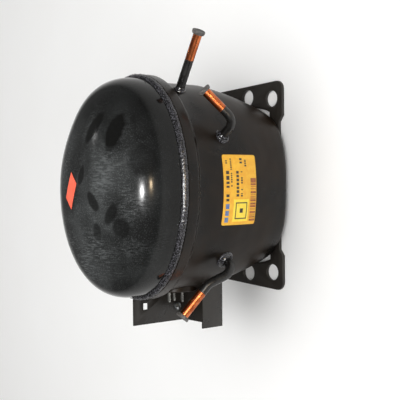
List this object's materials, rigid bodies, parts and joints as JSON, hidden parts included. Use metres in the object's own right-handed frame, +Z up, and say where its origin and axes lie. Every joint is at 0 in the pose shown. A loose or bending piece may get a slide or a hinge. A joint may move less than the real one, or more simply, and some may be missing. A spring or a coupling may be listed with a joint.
{
  "type": "hermetic reciprocating compressor",
  "caption": "Welded black steel can with a sprung electric pump inside, copper suction, discharge and process stubs with caps, mounting feet and a side terminal.",
  "frame": {"origin": "on the shaft axis, at the flat bottom of the lower shell", "axes": "+Z up along the shaft, -Y the front with the label, +X towards the discharge stub"},
  "size_m": [0.2716, 0.1569, 0.1993],
  "materials": {
    "black_paint": "glossy black enamel over deep-drawn steel",
    "steel": "bright machined or punched steel",
    "cast_iron": "as cast and machined grey iron",
    "copper": "clean drawn copper",
    "winding": "enamelled copper wire, varnished",
    "grey_rubber": "matt moulded rubber",
    "plastic": "moulded off-white plastic",
    "glass": "fused glass bead",
    "aluminium": "die-cast aluminium",
    "label": "satin yellow-orange printed foil label",
    "sticker": "matt orange-red paper sticker"
  },
  "bodies": {
    "can": {"lower_shell": "black_paint", "upper_shell": "black_paint", "weld_seam": "black_paint", "foot_right": "black_paint", "foot_left": "black_paint", "terminal_fence": "black_paint", "terminal_header": "steel", "earth_screw": "steel", "terminal_plug": "plastic", "suction_tube": "copper", "discharge_tube": "copper", "process_tube": "copper", "rating_label": "label", "dome_sticker": "sticker", "terminal_pin_common": "steel", "terminal_pin_start": "steel", "terminal_pin_run": "steel", "glass_bead_common": "glass", "glass_bead_start": "glass", "glass_bead_run": "glass", "spring_stud_1": "steel", "spring_stud_2": "steel", "spring_stud_3": "steel", "spring_stud_4": "steel", "suspension_spring_1": "steel", "suspension_spring_2": "steel", "suspension_spring_3": "steel", "suspension_spring_4": "steel"},
    "pump": {"spring_seat_1": "plastic", "spring_seat_2": "plastic", "spring_seat_3": "plastic", "spring_seat_4": "plastic", "stator_core": "steel", "winding_lower": "winding", "winding_upper": "winding", "stator_bolt_1": "steel", "stator_bolt_2": "steel", "stator_bolt_3": "steel", "stator_bolt_4": "steel", "cylinder_block": "cast_iron", "valve_plate": "steel", "cylinder_head": "aluminium", "head_bolt_a": "steel", "head_bolt_b": "steel", "head_bolt_c": "steel", "head_bolt_d": "steel", "suction_muffler": "plastic", "discharge_muffler": "steel", "discharge_loop": "copper"},
    "crank": {"crankshaft": "cast_iron", "rotor_core": "steel", "oil_pickup": "steel"},
    "rod": {"connecting_rod": "aluminium"},
    "piston": {"piston": "cast_iron", "gudgeon_pin": "steel"},
    "suction_reed": {"suction_reed": "steel"},
    "discharge_reed": {"discharge_reed": "steel"},
    "suction_cap": {"suction_cap": "grey_rubber"},
    "discharge_cap": {"discharge_cap": "grey_rubber"},
    "process_cap": {"process_cap": "grey_rubber"}
  },
  "joints": [
    {"name": "suspension_bounce", "type": "slide", "parent": "can", "child": "pump", "axis": [0, 0, 1], "range_m": [-0.002, 0.002], "stiffness_N_per_m": 19000, "springref_m": 0.00233, "deforming": ["suspension_spring_1", "suspension_spring_2", "suspension_spring_3", "suspension_spring_4", "discharge_loop"]},
    {"name": "crankshaft_turn", "type": "hinge", "parent": "pump", "child": "crank", "pos_m": [0, 0, 0.1], "axis": [0, 0, 1], "range_deg": [-45, 45]},
    {"name": "rod_on_crank_pin", "type": "hinge", "parent": "crank", "child": "rod", "pos_m": [0, -0.008, 0.133], "axis": [0, 0, 1], "range_deg": [-45.5, 45.5]},
    {"name": "piston_stroke", "type": "slide", "parent": "pump", "child": "piston", "axis": [1, 0, 0], "range_m": [-0.0058, 0.0058]},
    {"name": "suction_reed_flex", "type": "hinge", "parent": "pump", "child": "suction_reed", "pos_m": [0.0603, 0.0045, 0.138], "axis": [0, 1, 0], "range_deg": [0, 6], "stiffness_Nm_per_rad": 0.05},
    {"name": "discharge_reed_flex", "type": "hinge", "parent": "pump", "child": "discharge_reed", "pos_m": [0.0643, -0.0045, 0.1245], "axis": [0, 1, 0], "range_deg": [0, 7], "stiffness_Nm_per_rad": 0.05},
    {"name": "suction_cap_pull", "type": "slide", "parent": "can", "child": "suction_cap", "axis": [-0.7605, 0.2687, 0.5912], "range_m": [0, 0.008]},
    {"name": "discharge_cap_pull", "type": "slide", "parent": "can", "child": "discharge_cap", "axis": [0.8662, -0.4997, 0], "range_m": [0, 0.008]},
    {"name": "process_cap_pull", "type": "slide", "parent": "can", "child": "process_cap", "axis": [0.7041, 0.3073, 0.6401], "range_m": [0, 0.008]}
  ],
  "couplings": [
    {"joint": "rod_on_crank_pin", "follows": "crankshaft_turn", "ratio": -1},
    {"joint": "piston_stroke", "follows": "crankshaft_turn", "m_per_rad": 0.0072}
  ]
}
